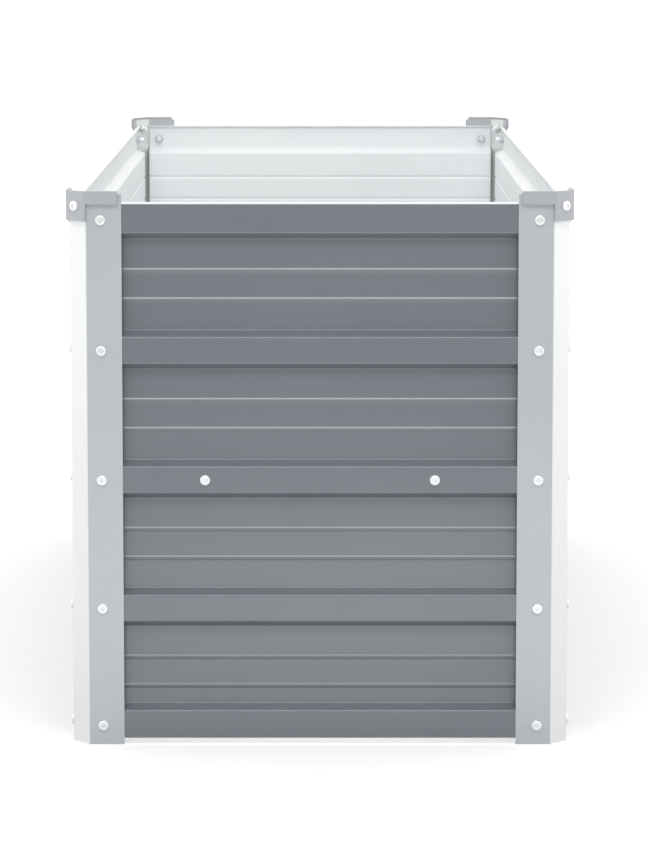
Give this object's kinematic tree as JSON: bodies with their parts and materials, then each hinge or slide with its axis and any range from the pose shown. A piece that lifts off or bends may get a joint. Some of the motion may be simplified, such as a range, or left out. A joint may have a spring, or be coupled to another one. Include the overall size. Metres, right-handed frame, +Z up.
{
  "type": "raised garden bed",
  "caption": "Raised garden bed: an open rectangular box of ribbed sheet-metal walls bolted to chamfered corner posts with corner plates, open at the top and the bottom.",
  "frame": {"origin": "on the ground, in the middle of the bed", "axes": "+Z up, +Y along the bed, the near end wall faces -Y, +X across it to the right"},
  "size_m": [0.4034, 1.0044, 0.4456],
  "materials": {
    "wall_coating": "blue-grey satin coil coating outside, pale back coat inside",
    "post_paint": "light grey satin powder coat",
    "plate_paint": "light grey satin powder coat",
    "bolt_zinc": "bright zinc plate",
    "nut_zinc": "bright zinc plate"
  },
  "bodies": {
    "root": {"corner_post_front_left": "post_paint", "corner_plate_front_left": "plate_paint", "post_bolts_front_left": "bolt_zinc", "post_nuts_front_left": "nut_zinc", "plate_bolt_front_left": "bolt_zinc", "plate_nut_front_left": "nut_zinc", "corner_post_front_right": "post_paint", "corner_plate_front_right": "plate_paint", "post_bolts_front_right": "bolt_zinc", "post_nuts_front_right": "nut_zinc", "plate_bolt_front_right": "bolt_zinc", "plate_nut_front_right": "nut_zinc", "corner_post_rear_right": "post_paint", "corner_plate_rear_right": "plate_paint", "post_bolts_rear_right": "bolt_zinc", "post_nuts_rear_right": "nut_zinc", "plate_bolt_rear_right": "bolt_zinc", "plate_nut_rear_right": "nut_zinc", "corner_post_rear_left": "post_paint", "corner_plate_rear_left": "plate_paint", "post_bolts_rear_left": "bolt_zinc", "post_nuts_rear_left": "nut_zinc", "plate_bolt_rear_left": "bolt_zinc", "plate_nut_rear_left": "nut_zinc", "front_upper_panel": "wall_coating", "front_lower_panel": "wall_coating", "front_seam_bolts": "bolt_zinc", "front_seam_nuts": "nut_zinc", "right_upper_panel": "wall_coating", "right_lower_panel": "wall_coating", "right_seam_bolts": "bolt_zinc", "right_seam_nuts": "nut_zinc", "rear_upper_panel": "wall_coating", "rear_lower_panel": "wall_coating", "rear_seam_bolts": "bolt_zinc", "rear_seam_nuts": "nut_zinc", "left_upper_panel": "wall_coating", "left_lower_panel": "wall_coating", "left_seam_bolts": "bolt_zinc", "left_seam_nuts": "nut_zinc"}
  },
  "joints": []
}
